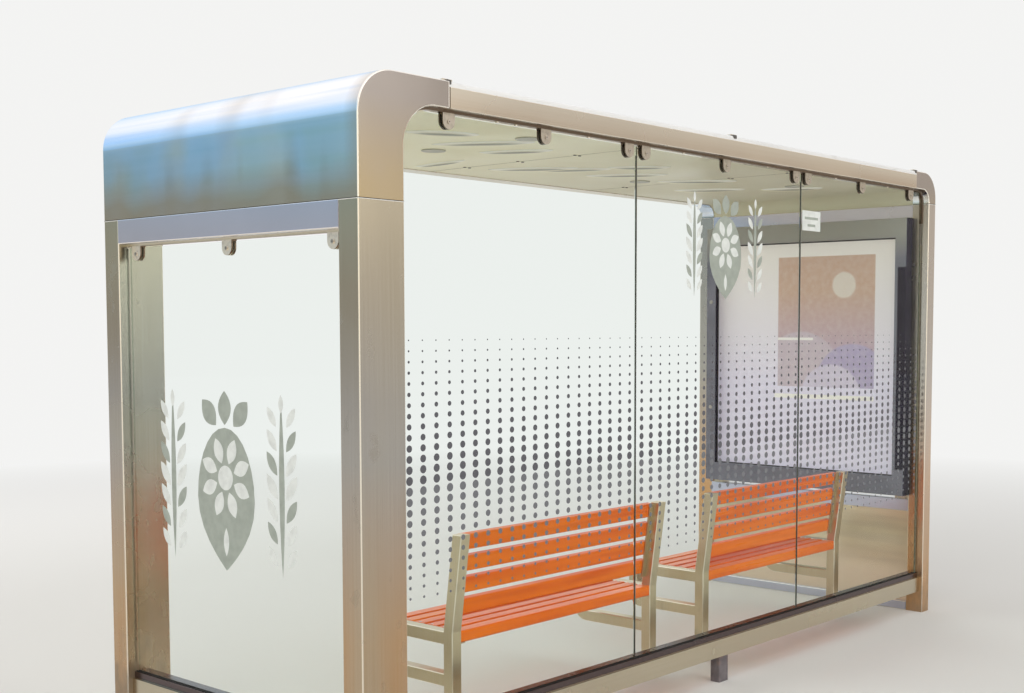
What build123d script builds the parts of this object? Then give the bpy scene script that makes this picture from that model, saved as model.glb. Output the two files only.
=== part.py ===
from build123d import *
import os

# Bus shelter of brushed stainless steel and glass, in millimetres.
# X runs along the shelter, Y from the open road side to the glazed rear side, Z up.
# The origin is on the ground below the middle of the shelter.

# Overall sizes
shelter_length = 4160
shelter_width = 1530
shelter_height = 2440

# Posts and the welded end caps that stand on them
post_depth = 100
right_post_width = 200
left_post_width = 80
post_arris_radius = 5
right_cap_straight = 178
left_cap_straight = 5
joint_chamfer = 5
right_cap_length = 411
left_cap_length = 236
right_outer_radius = 150
right_inner_radius = 150
left_outer_radius = 135
left_inner_radius = 65
cap_sheet = 4
lining_inset = 4
lining_sheet = 6
cap_arris_radius = 5

# Roof
roof_edge_height = 20
roof_edge_setback = 4
roof_edge_radius = 8
roof_seam_width = 50
roof_seam_height = 7
roof_seam_radius = 3
beam_height = 74
beam_arris_radius = 3
ceiling_rise = 4
ceiling_sheet = 6

# Glass and the rails that hold it
glass_thickness = 10
glass_setback = 42
pane_gap = 6
right_pane_width = 1293
middle_pane_width = 1281
glass_margin = 14
glazing_clearance = 3
groove_depth = 20
rail_bottom = 117
rail_step = 196
rail_top = 222
rail_setback = 22
bead_setback = 32
rail_arris_radius = 5
right_top_rail_height = 96
left_top_rail_height = 76
hanger_width = 22
hanger_height = 8
hanger_leg = 30
clamp_width = 58
clamp_height = 56
clamp_cheek = 7
clamp_clearance = 0.3
rear_clamp_inset = 52
right_arch_clamp_inset = 228
left_arch_clamp_inset = 135
side_clamp_inset = 70
foot_width = 70
foot_depth = 50

# Poster case and the steel panel below it, at the left end
case_bottom = 654
case_depth = 145
case_setback = 5
case_wall = 20
case_stile_width = 68
case_rail_height = 107
case_frame_depth = 30
case_frame_chamfer = 3
case_glass_thickness = 6
poster_thickness = 4
bracket_width = 60
bracket_inset = 20
middle_rail_top = 632
middle_rail_height = 70
middle_rail_depth = 76
panel_thickness = 30
panel_setback = 32
left_rail_height = 50

# Benches
bench_length = 1298
bench_setback = 300
bench_tube = 50
bench_tube_chamfer = 3
bench_depth = 450
bench_seat_height = 430
bench_back_height = 812
bench_back_lean = 52
bench_loop_height = 215
bench_loop_radius = 70
seat_slat_count = 6
seat_slat_thickness = 46
seat_slat_gap = 13
seat_rear_margin = 4
seat_front_margin = 40
back_slat_count = 4
back_slat_thickness = 32
back_slat_height = 62
back_slat_gap = 25
back_slat_drop = 6
back_slat_seat = 10
slat_edge_chamfer = 4
slat_bar_width = 24
slat_bar_thickness = 6
slat_bar_overhang = 15
right_bench_middle = 730
left_bench_middle = -937

# Places worked out from the sizes above
right_face = shelter_length / 2
left_face = -shelter_length / 2
rear_face = shelter_width / 2
front_face = -shelter_width / 2
right_post_inner = right_face - right_post_width
left_post_inner = left_face + left_post_width
post_gap = shelter_width - 2 * post_depth
right_seam = right_face - right_cap_length
left_seam = left_face + left_cap_length
beam_length = right_seam - left_seam
beam_middle = (right_seam + left_seam) / 2
beam_top = shelter_height - roof_edge_height
beam_bottom = beam_top - beam_height
right_joint_height = beam_bottom - right_inner_radius - right_cap_straight
left_joint_height = beam_bottom - left_inner_radius - left_cap_straight
rear_span = right_post_inner - left_post_inner
span_middle = (right_post_inner + left_post_inner) / 2
groove_bottom = rail_top - groove_depth
groove_width = glass_thickness + 2 * glazing_clearance
glass_middle = glass_setback + glass_thickness / 2
top_rail_bottom = right_joint_height - right_top_rail_height
case_top = left_joint_height - left_top_rail_height


def keep(piece, name):
    """Label a finished piece and write its file."""
    piece.part.label = name
    export_step(piece.part, f"parts/{name}.step")


def cap_face(outside, inward, leg, joint, seam, outer_radius, inner_radius, skin=0):
    """Side face of an end cap: a leg, a large bend and a short roof arm."""
    top = shelter_height - skin
    outer_x = outside + inward * skin
    bend_x = outside + inward * outer_radius
    bend_z = shelter_height - outer_radius
    inner_x = outside + inward * leg
    with BuildSketch() as face:
        with BuildLine():
            Line((outer_x, joint), (outer_x, bend_z))
            TangentArc((outer_x, bend_z), (bend_x, top), tangent=(0, 1))
            Line((bend_x, top), (seam, top))
            Line((seam, top), (seam, beam_bottom))
            Line((seam, beam_bottom), (inner_x + inward * inner_radius, beam_bottom))
            TangentArc(
                (inner_x + inward * inner_radius, beam_bottom),
                (inner_x, beam_bottom - inner_radius),
                tangent=(-inward, 0),
            )
            Line((inner_x, beam_bottom - inner_radius), (inner_x, joint))
            Line((inner_x, joint), (outer_x, joint))
        make_face()
    return face.sketch


def lining_face(outside, inward, leg, joint, seam, inner_radius, inset):
    """Face of the space inside an end, grown outwards by the inset."""
    inner_x = outside + inward * (leg - inset)
    bend_x = outside + inward * (leg + inner_radius)
    bend_z = beam_bottom - inner_radius
    with BuildSketch() as face:
        with BuildLine():
            Line((inner_x, joint), (inner_x, bend_z))
            TangentArc((inner_x, bend_z), (bend_x, beam_bottom + inset), tangent=(0, 1))
            Line((bend_x, beam_bottom + inset), (seam, beam_bottom + inset))
            Line((seam, beam_bottom + inset), (seam, joint))
            Line((seam, joint), (inner_x, joint))
        make_face()
    return face.sketch


def opening_face(inset, bottom):
    """Face of the glazed rear opening under the roof beam, made smaller by the inset."""
    right_x = right_post_inner - inset
    left_x = left_post_inner + inset
    top = beam_bottom - inset
    right_bend = right_inner_radius - inset
    left_bend = left_inner_radius - inset
    with BuildSketch() as face:
        with BuildLine():
            Line((right_x, bottom), (right_x, top - right_bend))
            TangentArc((right_x, top - right_bend), (right_x - right_bend, top), tangent=(0, 1))
            Line((right_x - right_bend, top), (left_x + left_bend, top))
            TangentArc((left_x + left_bend, top), (left_x, top - left_bend), tangent=(-1, 0))
            Line((left_x, top - left_bend), (left_x, bottom))
            Line((left_x, bottom), (right_x, bottom))
        make_face()
    return face.sketch


def outline_edges(cap, joint, seam):
    """Long edges of a cap's two side faces, without those at its joints."""
    sides = cap.faces().sort_by(Axis.Y)
    edges = sides[0].edges() + sides[-1].edges()
    return edges.filter_by(
        lambda edge: edge.center().Z > joint + joint_chamfer
        and abs(edge.center().X - seam) > joint_chamfer
    )


os.makedirs("parts", exist_ok=True)


# Posts: closed box sections whose top edges are bevelled at the joint
corners = [
    ("right_rear_post", right_face, -1, rear_face, -1, right_post_width, right_joint_height),
    ("right_front_post", right_face, -1, front_face, 1, right_post_width, right_joint_height),
    ("left_rear_post", left_face, 1, rear_face, -1, left_post_width, left_joint_height),
    ("left_front_post", left_face, 1, front_face, 1, left_post_width, left_joint_height),
]
for name, face_x, inward_x, face_y, inward_y, width, height in corners:
    with BuildPart() as post:
        with BuildSketch(Plane.XY):
            with Locations((face_x + inward_x * width / 2, face_y + inward_y * post_depth / 2)):
                Rectangle(width, post_depth)
        extrude(amount=height)
        fillet(post.edges().filter_by(Axis.Z), radius=post_arris_radius)
        chamfer(post.faces().sort_by(Axis.Z)[-1].edges(), length=joint_chamfer)
    keep(post, name)


# End caps: two box elbows joined by one bent outer skin, open to the inside between them
caps = [
    (
        "right_end_cap",
        "right_cap_lining",
        (right_face, -1, right_post_width, right_joint_height, right_seam),
        right_outer_radius,
        right_inner_radius,
    ),
    (
        "left_end_cap",
        "left_cap_lining",
        (left_face, 1, left_post_width, left_joint_height, left_seam),
        left_outer_radius,
        left_inner_radius,
    ),
]
for cap_name, lining_name, run, outer_radius, inner_radius in caps:
    with BuildPart() as cap:
        with BuildSketch(Plane.XZ.offset(front_face)):
            add(cap_face(*run, outer_radius, inner_radius))
        extrude(amount=shelter_width)
        fillet(outline_edges(cap, run[3], run[4]), radius=cap_arris_radius)
        with BuildSketch(Plane.XZ.offset(front_face + post_depth)):
            add(cap_face(*run, outer_radius, inner_radius, skin=cap_sheet))
        extrude(amount=post_gap, mode=Mode.SUBTRACT)
    keep(cap, cap_name)

    with BuildPart() as lining:
        with BuildSketch(Plane.XZ.offset(front_face + post_depth)):
            add(lining_face(*run, inner_radius, lining_inset + lining_sheet))
            add(lining_face(*run, inner_radius, lining_inset), mode=Mode.SUBTRACT)
        extrude(amount=post_gap)
    keep(lining, lining_name)


# Roof beams along the rear and the front
for name, middle_y in (
    ("rear_roof_beam", rear_face - post_depth / 2),
    ("front_roof_beam", front_face + post_depth / 2),
):
    with BuildPart() as beam:
        with BuildSketch(Plane.XY.offset(beam_bottom)):
            with Locations((beam_middle, middle_y)):
                Rectangle(beam_length, post_depth)
        extrude(amount=beam_height)
        fillet(beam.edges().filter_by(Axis.X), radius=beam_arris_radius)
    keep(beam, name)

# Roof deck: a flat panel whose edge shows as a bright strip above the beams
with BuildPart() as roof_deck:
    with BuildSketch(Plane.XY.offset(beam_top)):
        with Locations((beam_middle, 0)):
            Rectangle(beam_length, shelter_width - 2 * roof_edge_setback)
    extrude(amount=roof_edge_height)
    fillet(roof_deck.edges().filter_by(Axis.X).group_by(Axis.Z)[-1], radius=roof_edge_radius)
keep(roof_deck, "roof_deck")

# Cover strips across the roof, over its three sheet joints
roof_width = shelter_width - 2 * (roof_edge_setback + roof_edge_radius)
with BuildPart() as roof_seams:
    with BuildSketch(Plane.XY.offset(shelter_height)):
        with Locations((right_seam, 0), (beam_middle, 0), (left_seam, 0)):
            Rectangle(roof_seam_width, roof_width)
    extrude(amount=roof_seam_height)
    fillet(roof_seams.edges().group_by(Axis.Z)[-1].filter_by(Axis.Y), radius=roof_seam_radius)
keep(roof_seams, "roof_seams")

# Ceiling sheet between the beams
with BuildPart() as ceiling:
    with BuildSketch(Plane.XY.offset(beam_bottom + ceiling_rise)):
        with Locations((beam_middle, 0)):
            Rectangle(beam_length, post_gap)
    extrude(amount=ceiling_sheet)
keep(ceiling, "ceiling")


# Rails across the two ends, at the top
with BuildPart() as right_top_rail:
    with BuildSketch(Plane.XY.offset(top_rail_bottom)):
        with Locations((right_face - post_depth / 2, 0)):
            Rectangle(post_depth, post_gap)
    extrude(amount=right_top_rail_height)
    fillet(right_top_rail.edges().filter_by(Axis.Y), radius=rail_arris_radius)
keep(right_top_rail, "right_top_rail")

with BuildPart() as left_top_rail:
    with BuildSketch(Plane.XY.offset(case_top)):
        with Locations((left_face + left_post_width / 2, 0)):
            Rectangle(left_post_width, post_gap)
    extrude(amount=left_top_rail_height)
    fillet(left_top_rail.edges().filter_by(Axis.Y), radius=rail_arris_radius)
keep(left_top_rail, "left_top_rail")


def rail_face():
    """Section of a bottom rail, its outer side at zero: a box with a glazing bead and a groove."""
    with BuildSketch() as face:
        with BuildLine():
            Polyline(
                (-rail_setback, rail_bottom),
                (-rail_setback, rail_step),
                (-bead_setback, rail_step),
                (-bead_setback, rail_top),
                (-post_depth, rail_top),
                (-post_depth, rail_bottom),
                close=True,
            )
        make_face()
        with Locations((-glass_middle, rail_top - groove_depth / 2)):
            Rectangle(groove_width, groove_depth, mode=Mode.SUBTRACT)
    return face.sketch


# Bottom rails that hold the glass in a groove
with BuildPart() as rear_bottom_rail:
    with BuildSketch(Plane((left_post_inner, rear_face, 0), x_dir=(0, 1, 0), z_dir=(1, 0, 0))):
        add(rail_face())
    extrude(amount=rear_span)
keep(rear_bottom_rail, "rear_bottom_rail")

with BuildPart() as right_bottom_rail:
    with BuildSketch(Plane((right_face, post_gap / 2, 0), x_dir=(1, 0, 0), z_dir=(0, -1, 0))):
        add(rail_face())
    extrude(amount=post_gap)
keep(right_bottom_rail, "right_bottom_rail")

# Foot under the middle of the rear rail
with BuildPart() as rear_middle_foot:
    with BuildSketch(Plane.XY):
        with Locations((span_middle, rear_face - rail_setback - foot_depth / 2)):
            Rectangle(foot_width, foot_depth)
    extrude(amount=rail_bottom)
    fillet(rear_middle_foot.edges().filter_by(Axis.Z), radius=rail_arris_radius)
keep(rear_middle_foot, "rear_middle_foot")

# Hanging strips that the glass clamps are fixed to
hanger_end = beam_bottom - right_inner_radius - hanger_leg
with BuildPart() as rear_hanger:
    with BuildSketch(Plane.XZ.offset(-(rear_face - glass_middle + hanger_width / 2))):
        add(opening_face(0, hanger_end))
        add(opening_face(hanger_height, hanger_end), mode=Mode.SUBTRACT)
    extrude(amount=hanger_width)
keep(rear_hanger, "rear_hanger")

with BuildPart() as right_hanger:
    with BuildSketch(Plane.XY.offset(top_rail_bottom)):
        with Locations((right_face - glass_middle, 0)):
            Rectangle(hanger_width, post_gap)
    extrude(amount=-hanger_height)
keep(right_hanger, "right_hanger")


# Three panes of toughened glass along the rear, the right one rounded to the elbow
glazed_width = rear_span - 2 * (glass_margin + pane_gap)
panes = [
    ("rear_glass_right", right_pane_width),
    ("rear_glass_middle", middle_pane_width),
    ("rear_glass_left", glazed_width - right_pane_width - middle_pane_width),
]
pane_edges = []
pane_right = right_post_inner - glass_margin
for name, pane_width in panes:
    pane_edges.append((pane_right, pane_right - pane_width))
    with BuildPart() as pane:
        with BuildSketch(Plane.XZ.offset(-(rear_face - glass_setback))):
            add(opening_face(glass_margin, groove_bottom))
            with Locations((pane_right - pane_width / 2, shelter_height / 2)):
                Rectangle(pane_width, shelter_height, mode=Mode.INTERSECT)
        extrude(amount=glass_thickness)
    keep(pane, name)
    pane_right -= pane_width + pane_gap

with BuildPart() as right_glass:
    with BuildSketch(Plane.YZ.offset(right_face - glass_setback)):
        with Locations((0, (groove_bottom + top_rail_bottom - glass_margin) / 2)):
            Rectangle(post_gap - 2 * glass_margin, top_rail_bottom - glass_margin - groove_bottom)
    extrude(amount=-glass_thickness)
keep(right_glass, "right_glass")


def clamp_face(top):
    """Half-round cheek of a glass clamp, hanging from its top edge."""
    radius = clamp_width / 2
    with BuildSketch() as face:
        with BuildLine():
            Line((-radius, top), (radius, top))
            Line((radius, top), (radius, top - clamp_height + radius))
            TangentArc(
                (radius, top - clamp_height + radius), (0, top - clamp_height), tangent=(0, -1)
            )
            TangentArc(
                (0, top - clamp_height), (-radius, top - clamp_height + radius), tangent=(-1, 0)
            )
            Line((-radius, top - clamp_height + radius), (-radius, top))
        make_face()
    return face.sketch


# Glass clamps: two half-round cheeks with a slot for the pane between them
clamp_thickness = glass_thickness + 2 * clamp_cheek
slot_width = glass_thickness + 2 * clamp_clearance
rear_clamp_top = beam_bottom - hanger_height
right_clamp_top = top_rail_bottom - hanger_height
clamp_insets = [
    (right_arch_clamp_inset, rear_clamp_inset),
    (rear_clamp_inset, rear_clamp_inset),
    (rear_clamp_inset, left_arch_clamp_inset),
]
rear_clamp_places = []
for (pane_right, pane_left), (right_inset, left_inset) in zip(pane_edges, clamp_insets):
    first = pane_right - right_inset
    last = pane_left + left_inset
    rear_clamp_places += [first, (first + last) / 2, last]

with BuildPart() as rear_clamps:
    for place in rear_clamp_places:
        start = rear_face - glass_middle + clamp_thickness / 2
        with BuildSketch(Plane((place, start, 0), x_dir=(1, 0, 0), z_dir=(0, -1, 0))):
            add(clamp_face(rear_clamp_top))
        extrude(amount=clamp_thickness)
    with BuildSketch(Plane.XY.offset(beam_bottom - glass_margin)):
        with Locations((span_middle, rear_face - glass_middle)):
            Rectangle(rear_span, slot_width)
    extrude(amount=-clamp_height, mode=Mode.SUBTRACT)
keep(rear_clamps, "rear_clamps")

side_clamp_reach = post_gap / 2 - side_clamp_inset
with BuildPart() as right_clamps:
    for place in (-side_clamp_reach, 0, side_clamp_reach):
        start = right_face - glass_middle - clamp_thickness / 2
        with BuildSketch(Plane((start, place, 0), x_dir=(0, 1, 0), z_dir=(1, 0, 0))):
            add(clamp_face(right_clamp_top))
        extrude(amount=clamp_thickness)
    with BuildSketch(Plane.XY.offset(top_rail_bottom - glass_margin)):
        with Locations((right_face - glass_middle, 0)):
            Rectangle(slot_width, post_gap)
    extrude(amount=-clamp_height, mode=Mode.SUBTRACT)
keep(right_clamps, "right_clamps")


# Poster case: a body ring with a glazed frame on each face and two boards at its middle
case_outer = left_face + case_setback
case_inner = case_outer + case_depth
case_middle_x = (case_outer + case_inner) / 2
case_height = case_top - case_bottom
case_middle_z = (case_top + case_bottom) / 2
case_body_depth = case_depth - 2 * case_frame_depth
with BuildPart() as case_body:
    with BuildSketch(Plane.YZ.offset(case_outer + case_frame_depth)):
        with Locations((0, case_middle_z)):
            Rectangle(post_gap, case_height)
            Rectangle(post_gap - 2 * case_wall, case_height - 2 * case_wall, mode=Mode.SUBTRACT)
    extrude(amount=case_body_depth)
keep(case_body, "case_body")

for frame_name, glass_name, poster_name, face_x, outward in (
    ("case_inner_frame", "case_inner_glass", "inner_poster", case_inner, 1),
    ("case_outer_frame", "case_outer_glass", "outer_poster", case_outer, -1),
):
    back_x = face_x - outward * case_frame_depth
    opening_width = post_gap - 2 * case_stile_width
    opening_height = case_height - 2 * case_rail_height
    with BuildPart() as frame:
        with BuildSketch(Plane.YZ.offset(back_x)):
            with Locations((0, case_middle_z)):
                Rectangle(post_gap, case_height)
                Rectangle(opening_width, opening_height, mode=Mode.SUBTRACT)
        extrude(amount=outward * case_frame_depth)
        frame_face = frame.faces().sort_by(Axis.X)[-1 if outward > 0 else 0]
        chamfer(frame_face.edges(), length=case_frame_chamfer)
    keep(frame, frame_name)

    with BuildPart() as glass:
        with BuildSketch(Plane.YZ.offset(back_x)):
            with Locations((0, case_middle_z)):
                Rectangle(opening_width, opening_height)
        extrude(amount=outward * case_glass_thickness)
    keep(glass, glass_name)

    with BuildPart() as poster:
        with BuildSketch(Plane.YZ.offset(case_middle_x)):
            with Locations((0, case_middle_z)):
                Rectangle(post_gap - 2 * case_wall, case_height - 2 * case_wall)
        extrude(amount=outward * poster_thickness)
    keep(poster, poster_name)

# Middle rail, case brackets, steel panel and bottom rail of the left end
with BuildPart() as left_middle_rail:
    with BuildSketch(Plane.XY.offset(middle_rail_top - middle_rail_height)):
        with Locations((left_face + left_post_width / 2, 0)):
            Rectangle(middle_rail_depth, post_gap)
    extrude(amount=middle_rail_height)
    fillet(left_middle_rail.edges().filter_by(Axis.Y), radius=rail_arris_radius)
keep(left_middle_rail, "left_middle_rail")

bracket_reach = post_gap / 2 - bracket_inset - bracket_width / 2
with BuildPart() as case_brackets:
    with BuildSketch(Plane.XY.offset(middle_rail_top)):
        with Locations((left_face + left_post_width / 2, bracket_reach),
                       (left_face + left_post_width / 2, -bracket_reach)):
            Rectangle(middle_rail_depth, bracket_width)
    extrude(amount=case_bottom - middle_rail_top)
keep(case_brackets, "case_brackets")

with BuildPart() as left_panel:
    with BuildSketch(Plane.XY.offset(left_rail_height)):
        with Locations((left_face + panel_setback + panel_thickness / 2, 0)):
            Rectangle(panel_thickness, post_gap)
    extrude(amount=middle_rail_top - middle_rail_height - left_rail_height)
keep(left_panel, "left_panel")

with BuildPart() as left_bottom_rail:
    with BuildSketch(Plane.XY):
        with Locations((left_face + (rail_setback + left_post_width) / 2, 0)):
            Rectangle(left_post_width - rail_setback, post_gap)
    extrude(amount=left_rail_height)
    fillet(left_bottom_rail.edges().filter_by(Axis.Y), radius=rail_arris_radius)
keep(left_bottom_rail, "left_bottom_rail")


# Benches: square-tube end frames, each with two flat bars that its slats are bolted to
leg_rear = rear_face - bench_setback
leg_front = leg_rear - bench_tube
seat_front = leg_rear - bench_depth
loop_bottom = bench_seat_height - bench_loop_height
loop_middle = (bench_seat_height + loop_bottom) / 2
lean_height = bench_back_height - bench_seat_height
seat_depth = bench_depth - seat_rear_margin - seat_front_margin
seat_slat_width = (seat_depth - (seat_slat_count - 1) * seat_slat_gap) / seat_slat_count
slat_length = bench_length - 2 * bench_tube
lean = Vector(0, bench_back_lean, lean_height)
back_run = lean.length
back_slat_pitch = back_slat_height + back_slat_gap
back_slat_top = back_run - back_slat_drop
back_bar_length = back_slat_count * back_slat_pitch - back_slat_gap + slat_bar_overhang
seat_bar_thickness = bench_tube - seat_slat_thickness


def back_plane(start_x):
    """Plane across the leaning front of the uprights, its X running up the lean."""
    start = Vector(start_x, leg_front, bench_seat_height)
    return Plane(start, x_dir=(0, lean.Y, lean.Z), z_dir=(1, 0, 0))


for side, middle in (("right", right_bench_middle), ("left", left_bench_middle)):
    for end, outer_x, inward in (
        ("right", middle + bench_length / 2, -1),
        ("left", middle - bench_length / 2, 1),
    ):
        with BuildPart() as bench_frame:
            with BuildSketch(Plane.YZ.offset(outer_x)):
                with Locations(((seat_front + leg_front) / 2, loop_middle)):
                    RectangleRounded(leg_front - seat_front, bench_loop_height, bench_loop_radius)
                with Locations((leg_front - bench_loop_radius, loop_middle)):
                    Rectangle(2 * bench_loop_radius, bench_loop_height)
                with Locations(((seat_front + leg_front + bench_tube) / 2, loop_middle)):
                    Rectangle(
                        leg_front - seat_front - bench_tube,
                        bench_loop_height - 2 * bench_tube,
                        mode=Mode.SUBTRACT,
                    )
                with BuildLine():
                    Polyline(
                        (leg_front, 0),
                        (leg_rear, 0),
                        (leg_rear, bench_seat_height),
                        (leg_rear + bench_back_lean, bench_back_height),
                        (leg_front + bench_back_lean, bench_back_height),
                        (leg_front, bench_seat_height),
                        close=True,
                    )
                make_face()
            extrude(amount=inward * bench_tube)
            sides = bench_frame.faces().sort_by(Axis.X)
            chamfer(sides[0].edges() + sides[-1].edges(), length=bench_tube_chamfer)
            bar_start = outer_x + inward * bench_tube / 2
            with BuildSketch(back_plane(bar_start)):
                with Locations(
                    (
                        back_slat_top - back_bar_length / 2,
                        -back_slat_seat - slat_bar_thickness / 2,
                    )
                ):
                    Rectangle(back_bar_length, slat_bar_thickness)
            with BuildSketch(Plane.YZ.offset(bar_start)):
                with Locations(
                    (
                        leg_rear - seat_rear_margin - seat_depth / 2,
                        bench_seat_height - bench_tube + seat_bar_thickness / 2,
                    )
                ):
                    Rectangle(seat_depth, seat_bar_thickness)
            extrude(amount=inward * (bench_tube / 2 + slat_bar_width))
        keep(bench_frame, f"{side}_bench_{end}_frame")

    slat_start = middle - slat_length / 2
    with BuildPart() as seat_slats:
        with BuildSketch(Plane.YZ.offset(slat_start)) as seat_ends:
            for index in range(seat_slat_count):
                slat_rear = leg_rear - seat_rear_margin - index * (seat_slat_width + seat_slat_gap)
                with Locations(
                    (slat_rear - seat_slat_width / 2, bench_seat_height - seat_slat_thickness / 2)
                ):
                    Rectangle(seat_slat_width, seat_slat_thickness)
            chamfer(seat_ends.vertices(), length=slat_edge_chamfer)
        extrude(amount=slat_length)
    keep(seat_slats, f"{side}_bench_seat")

    with BuildPart() as back_slats:
        with BuildSketch(back_plane(slat_start)) as back_ends:
            for index in range(back_slat_count):
                slat_top = back_slat_top - index * back_slat_pitch
                with Locations(
                    (slat_top - back_slat_height / 2, back_slat_thickness / 2 - back_slat_seat)
                ):
                    Rectangle(back_slat_height, back_slat_thickness)
            chamfer(back_ends.vertices(), length=slat_edge_chamfer)
        extrude(amount=slat_length)
    keep(back_slats, f"{side}_bench_back")
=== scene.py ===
import math

import bmesh
import bpy
from mathutils import Matrix, Vector


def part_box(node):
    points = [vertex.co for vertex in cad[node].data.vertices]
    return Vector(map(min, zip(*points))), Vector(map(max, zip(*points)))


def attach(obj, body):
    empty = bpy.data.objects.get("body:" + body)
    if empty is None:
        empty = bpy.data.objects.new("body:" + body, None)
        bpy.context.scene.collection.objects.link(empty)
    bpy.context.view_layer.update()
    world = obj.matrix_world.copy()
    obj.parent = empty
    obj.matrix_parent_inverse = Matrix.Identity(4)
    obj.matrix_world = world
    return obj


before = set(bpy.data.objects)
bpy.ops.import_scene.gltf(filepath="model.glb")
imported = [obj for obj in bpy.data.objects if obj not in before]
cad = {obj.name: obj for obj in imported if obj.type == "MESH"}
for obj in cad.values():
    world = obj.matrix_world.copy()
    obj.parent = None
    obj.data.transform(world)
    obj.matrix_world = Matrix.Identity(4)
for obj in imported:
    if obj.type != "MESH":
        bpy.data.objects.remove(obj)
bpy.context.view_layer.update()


# Studio: a pale floor that fades into a pale surround under three broad soft lamps, and a
# sky for the steel to mirror, warm towards the rear and cool towards the large end cap.
def add_node(tree, kind, inputs=(), **settings):
    """A shader node with its settings, and its inputs set or linked."""
    made = tree.nodes.new("ShaderNode" + kind)
    for setting, value in settings.items():
        setattr(made, setting, value)
    for socket_name, value in dict(inputs).items():
        socket = made.inputs[socket_name]
        if isinstance(value, bpy.types.NodeSocket):
            tree.links.new(value, socket)
        else:
            socket.default_value = value
    return made


def ramp(tree, value, start, end, low_value=0.0, high_value=1.0):
    """A value carried from one span to another, and held at its ends."""
    inputs = {
        "Value": value,
        "From Min": start,
        "From Max": end,
        "To Min": low_value,
        "To Max": high_value,
    }
    return add_node(tree, "MapRange", inputs).outputs[0]


def mixed(tree, factor, first, second):
    """Two colours mixed by a factor, through the colour sockets 6 and 7 of the node."""
    inputs = {0: factor, 6: (*first, 1) if isinstance(first, tuple) else first}
    inputs[7] = (*second, 1) if isinstance(second, tuple) else second
    return add_node(tree, "Mix", inputs, data_type="RGBA").outputs[2]


def joined(tree, first, second, operation="MULTIPLY"):
    """Two values joined by a product, a sum or the like."""
    return add_node(tree, "Math", {0: first, 1: second}, operation=operation).outputs[0]


surround_colour = (0.90, 0.90, 0.89)
world = bpy.data.worlds.new("surround")
bpy.context.scene.world = world
world.use_nodes = True
sky = world.node_tree
sky.nodes.clear()
sky_ray = add_node(sky, "LightPath").outputs
direction = add_node(sky, "TexCoord").outputs["Generated"]
rise = add_node(sky, "SeparateXYZ", {0: direction}).outputs["Z"]
diagonal = 0.707
rear_left, rear_right = (
    add_node(
        sky,
        "VectorMath",
        {0: direction, 1: (side * diagonal, diagonal, 0)},
        operation="DOT_PRODUCT",
    ).outputs["Value"]
    for side in (-1, 1)
)
cool = (0.44, 0.39, 0.32)
for start, end, colour_above in (
    (0.065, 0.115, (0.31, 0.50, 0.57)),
    (0.13, 0.26, (0.50, 0.76, 1.05)),
    (0.32, 0.58, (1.10, 1.09, 1.09)),
):
    cool = mixed(sky, ramp(sky, rise, start, end), cool, colour_above)
warm = mixed(sky, ramp(sky, rise, 0.10, 0.70), (0.76, 0.69, 0.62), (0.90, 0.90, 0.94))
around = mixed(sky, ramp(sky, rear_left, -0.35, 0.50), cool, warm)
corner = ramp(sky, joined(sky, rear_right, 0, "ABSOLUTE"), 0.65, 0.95)
low_corner = joined(sky, corner, ramp(sky, rise, 0.30, 0.15))
around = mixed(sky, low_corner, around, (1.25, 1.16, 0.98))
soft_sky = add_node(sky, "Background", {"Color": (1.0, 0.99, 0.97, 1), "Strength": 0.66})
mirror_sky = add_node(sky, "Background", {"Color": around, "Strength": 1.0})
pale_sky = add_node(sky, "Background", {"Color": (*surround_colour, 1), "Strength": 1.0})
lit = add_node(
    sky,
    "MixShader",
    {0: sky_ray["Is Glossy Ray"], 1: soft_sky.outputs[0], 2: mirror_sky.outputs[0]},
)
straight = joined(sky, sky_ray["Is Camera Ray"], sky_ray["Is Transmission Ray"], "MAXIMUM")
shown = add_node(sky, "MixShader", {0: straight, 1: lit.outputs[0], 2: pale_sky.outputs[0]})
add_node(sky, "OutputWorld", {"Surface": shown.outputs[0]})

floor_radius = 40.0
fade_start, fade_end = 3.5, 11.0
floor_mesh = bmesh.new()
bmesh.ops.create_circle(floor_mesh, cap_ends=True, segments=64, radius=floor_radius)
floor_data = bpy.data.meshes.new("floor")
floor_mesh.to_mesh(floor_data)
floor_mesh.free()
floor = bpy.data.objects.new("floor", floor_data)
bpy.context.scene.collection.objects.link(floor)
floor_paint = bpy.data.materials.new("pale_floor")
floor_paint.use_nodes = True
ground = floor_paint.node_tree
ground.nodes.clear()
floor_ray = add_node(ground, "LightPath").outputs
seen = joined(ground, floor_ray["Is Camera Ray"], floor_ray["Is Transmission Ray"], "MAXIMUM")
seen = joined(ground, seen, floor_ray["Is Glossy Ray"], "MAXIMUM")
floor_place = add_node(ground, "TexCoord").outputs["Object"]
reach = add_node(ground, "VectorMath", {0: floor_place}, operation="LENGTH").outputs["Value"]
faded = joined(ground, ramp(ground, reach, fade_start, fade_end), seen)
matt = add_node(ground, "BsdfDiffuse", {"Color": (0.80, 0.79, 0.765, 1)})
glow = add_node(ground, "Emission", {"Color": (*surround_colour, 1)})
floor_mix = add_node(ground, "MixShader", {0: faded, 1: matt.outputs[0], 2: glow.outputs[0]})
add_node(ground, "OutputMaterial", {"Surface": floor_mix.outputs[0]})
floor_data.materials.append(floor_paint)

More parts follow.
